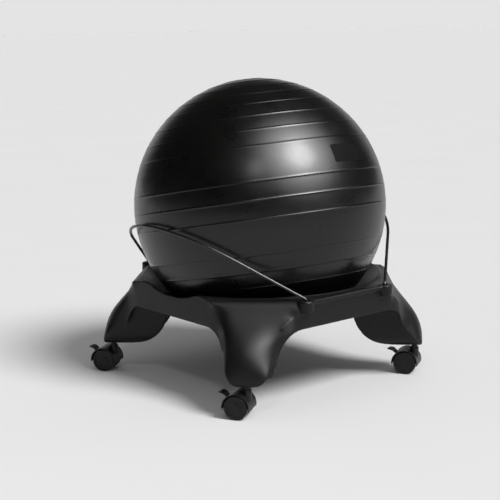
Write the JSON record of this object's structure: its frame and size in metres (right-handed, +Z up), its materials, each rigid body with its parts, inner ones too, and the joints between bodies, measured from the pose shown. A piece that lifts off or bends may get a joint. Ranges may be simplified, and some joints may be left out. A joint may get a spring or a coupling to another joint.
{
  "type": "balance ball chair",
  "caption": "Inflated exercise ball held in a wheeled base with a round bowl, arched sides, bowed wire hoops and braked swivel casters.",
  "frame": {"origin": "on the floor under the middle of the ball", "axes": "+Z up, -Y towards the front rail, +X to the right seen from the front"},
  "size_m": [0.5502, 0.5507, 0.617],
  "materials": {
    "ball_skin": "satin",
    "base_plastic": "satin",
    "coated_wire": "satin",
    "caster_plastic": "satin",
    "wheel_plastic": "matte",
    "dark_plastic": "matte",
    "steel": "satin"
  },
  "bodies": {
    "base": {"base_shell": "base_plastic", "socket_front_left": "dark_plastic", "stem_front_left": "steel", "grip_ring_front_left": "steel", "socket_front_right": "dark_plastic", "stem_front_right": "steel", "grip_ring_front_right": "steel", "socket_rear_left": "dark_plastic", "stem_rear_left": "steel", "grip_ring_rear_left": "steel", "socket_rear_right": "dark_plastic", "stem_rear_right": "steel", "grip_ring_rear_right": "steel"},
    "ball": {"ball": "ball_skin"},
    "valve": {"valve_plug": "dark_plastic"},
    "hoop_left": {"hoop_left": "coated_wire"},
    "hoop_right": {"hoop_right": "coated_wire"},
    "caster_front_left": {"housing_front_left": "caster_plastic", "axle_front_left": "steel", "lever_pin_front_left": "steel"},
    "wheel_a_front_left": {"wheel_a_front_left": "wheel_plastic"},
    "wheel_b_front_left": {"wheel_b_front_left": "wheel_plastic"},
    "brake_front_left": {"brake_lever_front_left": "caster_plastic"},
    "caster_front_right": {"housing_front_right": "caster_plastic", "axle_front_right": "steel", "lever_pin_front_right": "steel"},
    "wheel_a_front_right": {"wheel_a_front_right": "wheel_plastic"},
    "wheel_b_front_right": {"wheel_b_front_right": "wheel_plastic"},
    "brake_front_right": {"brake_lever_front_right": "caster_plastic"},
    "caster_rear_left": {"housing_rear_left": "caster_plastic", "axle_rear_left": "steel", "lever_pin_rear_left": "steel"},
    "wheel_a_rear_left": {"wheel_a_rear_left": "wheel_plastic"},
    "wheel_b_rear_left": {"wheel_b_rear_left": "wheel_plastic"},
    "brake_rear_left": {"brake_lever_rear_left": "caster_plastic"},
    "caster_rear_right": {"housing_rear_right": "caster_plastic", "axle_rear_right": "steel", "lever_pin_rear_right": "steel"},
    "wheel_a_rear_right": {"wheel_a_rear_right": "wheel_plastic"},
    "wheel_b_rear_right": {"wheel_b_rear_right": "wheel_plastic"},
    "brake_rear_right": {"brake_lever_rear_right": "caster_plastic"}
  },
  "joints": [
    {"name": "ball_lift", "type": "slide", "parent": "base", "child": "ball", "axis": [0, 0, 1], "range_m": [0, 0.3]},
    {"name": "valve_pull", "type": "slide", "parent": "ball", "child": "valve", "axis": [-0.0092, -0.1889, -0.982], "range_m": [0, 0.03]},
    {"name": "hoop_left_lift", "type": "slide", "parent": "base", "child": "hoop_left", "axis": [0, 0, 1], "range_m": [0, 0.025]},
    {"name": "hoop_right_lift", "type": "slide", "parent": "base", "child": "hoop_right", "axis": [0, 0, 1], "range_m": [0, 0.025]},
    {"name": "swivel_front_left", "type": "hinge", "parent": "base", "child": "caster_front_left", "pos_m": [-0.22585, -0.22585, 0.05], "axis": [0, 0, 1], "continuous": true},
    {"name": "roll_a_front_left", "type": "hinge", "parent": "caster_front_left", "child": "wheel_a_front_left", "pos_m": [-0.23496, -0.2115, 0.0235], "axis": [0.8443, 0.5358, 0], "continuous": true},
    {"name": "roll_b_front_left", "type": "hinge", "parent": "caster_front_left", "child": "wheel_b_front_left", "pos_m": [-0.23496, -0.2115, 0.0235], "axis": [0.8443, 0.5358, 0], "continuous": true},
    {"name": "brake_press_front_left", "type": "hinge", "parent": "caster_front_left", "child": "brake_front_left", "pos_m": [-0.24193, -0.20052, 0.036], "axis": [-0.8443, -0.5358, 0], "range_deg": [0, 12]},
    {"name": "swivel_front_right", "type": "hinge", "parent": "base", "child": "caster_front_right", "pos_m": [0.22585, -0.22585, 0.05], "axis": [0, 0, 1], "continuous": true},
    {"name": "roll_a_front_right", "type": "hinge", "parent": "caster_front_right", "child": "wheel_a_front_right", "pos_m": [0.21674, -0.2115, 0.0235], "axis": [0.8443, 0.5358, 0], "continuous": true},
    {"name": "roll_b_front_right", "type": "hinge", "parent": "caster_front_right", "child": "wheel_b_front_right", "pos_m": [0.21674, -0.2115, 0.0235], "axis": [0.8443, 0.5358, 0], "continuous": true},
    {"name": "brake_press_front_right", "type": "hinge", "parent": "caster_front_right", "child": "brake_front_right", "pos_m": [0.20977, -0.20052, 0.036], "axis": [-0.8443, -0.5358, 0], "range_deg": [0, 12]},
    {"name": "swivel_rear_left", "type": "hinge", "parent": "base", "child": "caster_rear_left", "pos_m": [-0.22585, 0.22585, 0.05], "axis": [0, 0, 1], "continuous": true},
    {"name": "roll_a_rear_left", "type": "hinge", "parent": "caster_rear_left", "child": "wheel_a_rear_left", "pos_m": [-0.23496, 0.2402, 0.0235], "axis": [0.8443, 0.5358, 0], "continuous": true},
    {"name": "roll_b_rear_left", "type": "hinge", "parent": "caster_rear_left", "child": "wheel_b_rear_left", "pos_m": [-0.23496, 0.2402, 0.0235], "axis": [0.8443, 0.5358, 0], "continuous": true},
    {"name": "brake_press_rear_left", "type": "hinge", "parent": "caster_rear_left", "child": "brake_rear_left", "pos_m": [-0.24193, 0.25118, 0.036], "axis": [-0.8443, -0.5358, 0], "range_deg": [0, 12]},
    {"name": "swivel_rear_right", "type": "hinge", "parent": "base", "child": "caster_rear_right", "pos_m": [0.22585, 0.22585, 0.05], "axis": [0, 0, 1], "continuous": true},
    {"name": "roll_a_rear_right", "type": "hinge", "parent": "caster_rear_right", "child": "wheel_a_rear_right", "pos_m": [0.21674, 0.2402, 0.0235], "axis": [0.8443, 0.5358, 0], "continuous": true},
    {"name": "roll_b_rear_right", "type": "hinge", "parent": "caster_rear_right", "child": "wheel_b_rear_right", "pos_m": [0.21674, 0.2402, 0.0235], "axis": [0.8443, 0.5358, 0], "continuous": true},
    {"name": "brake_press_rear_right", "type": "hinge", "parent": "caster_rear_right", "child": "brake_rear_right", "pos_m": [0.20977, 0.25118, 0.036], "axis": [-0.8443, -0.5358, 0], "range_deg": [0, 12]}
  ]
}
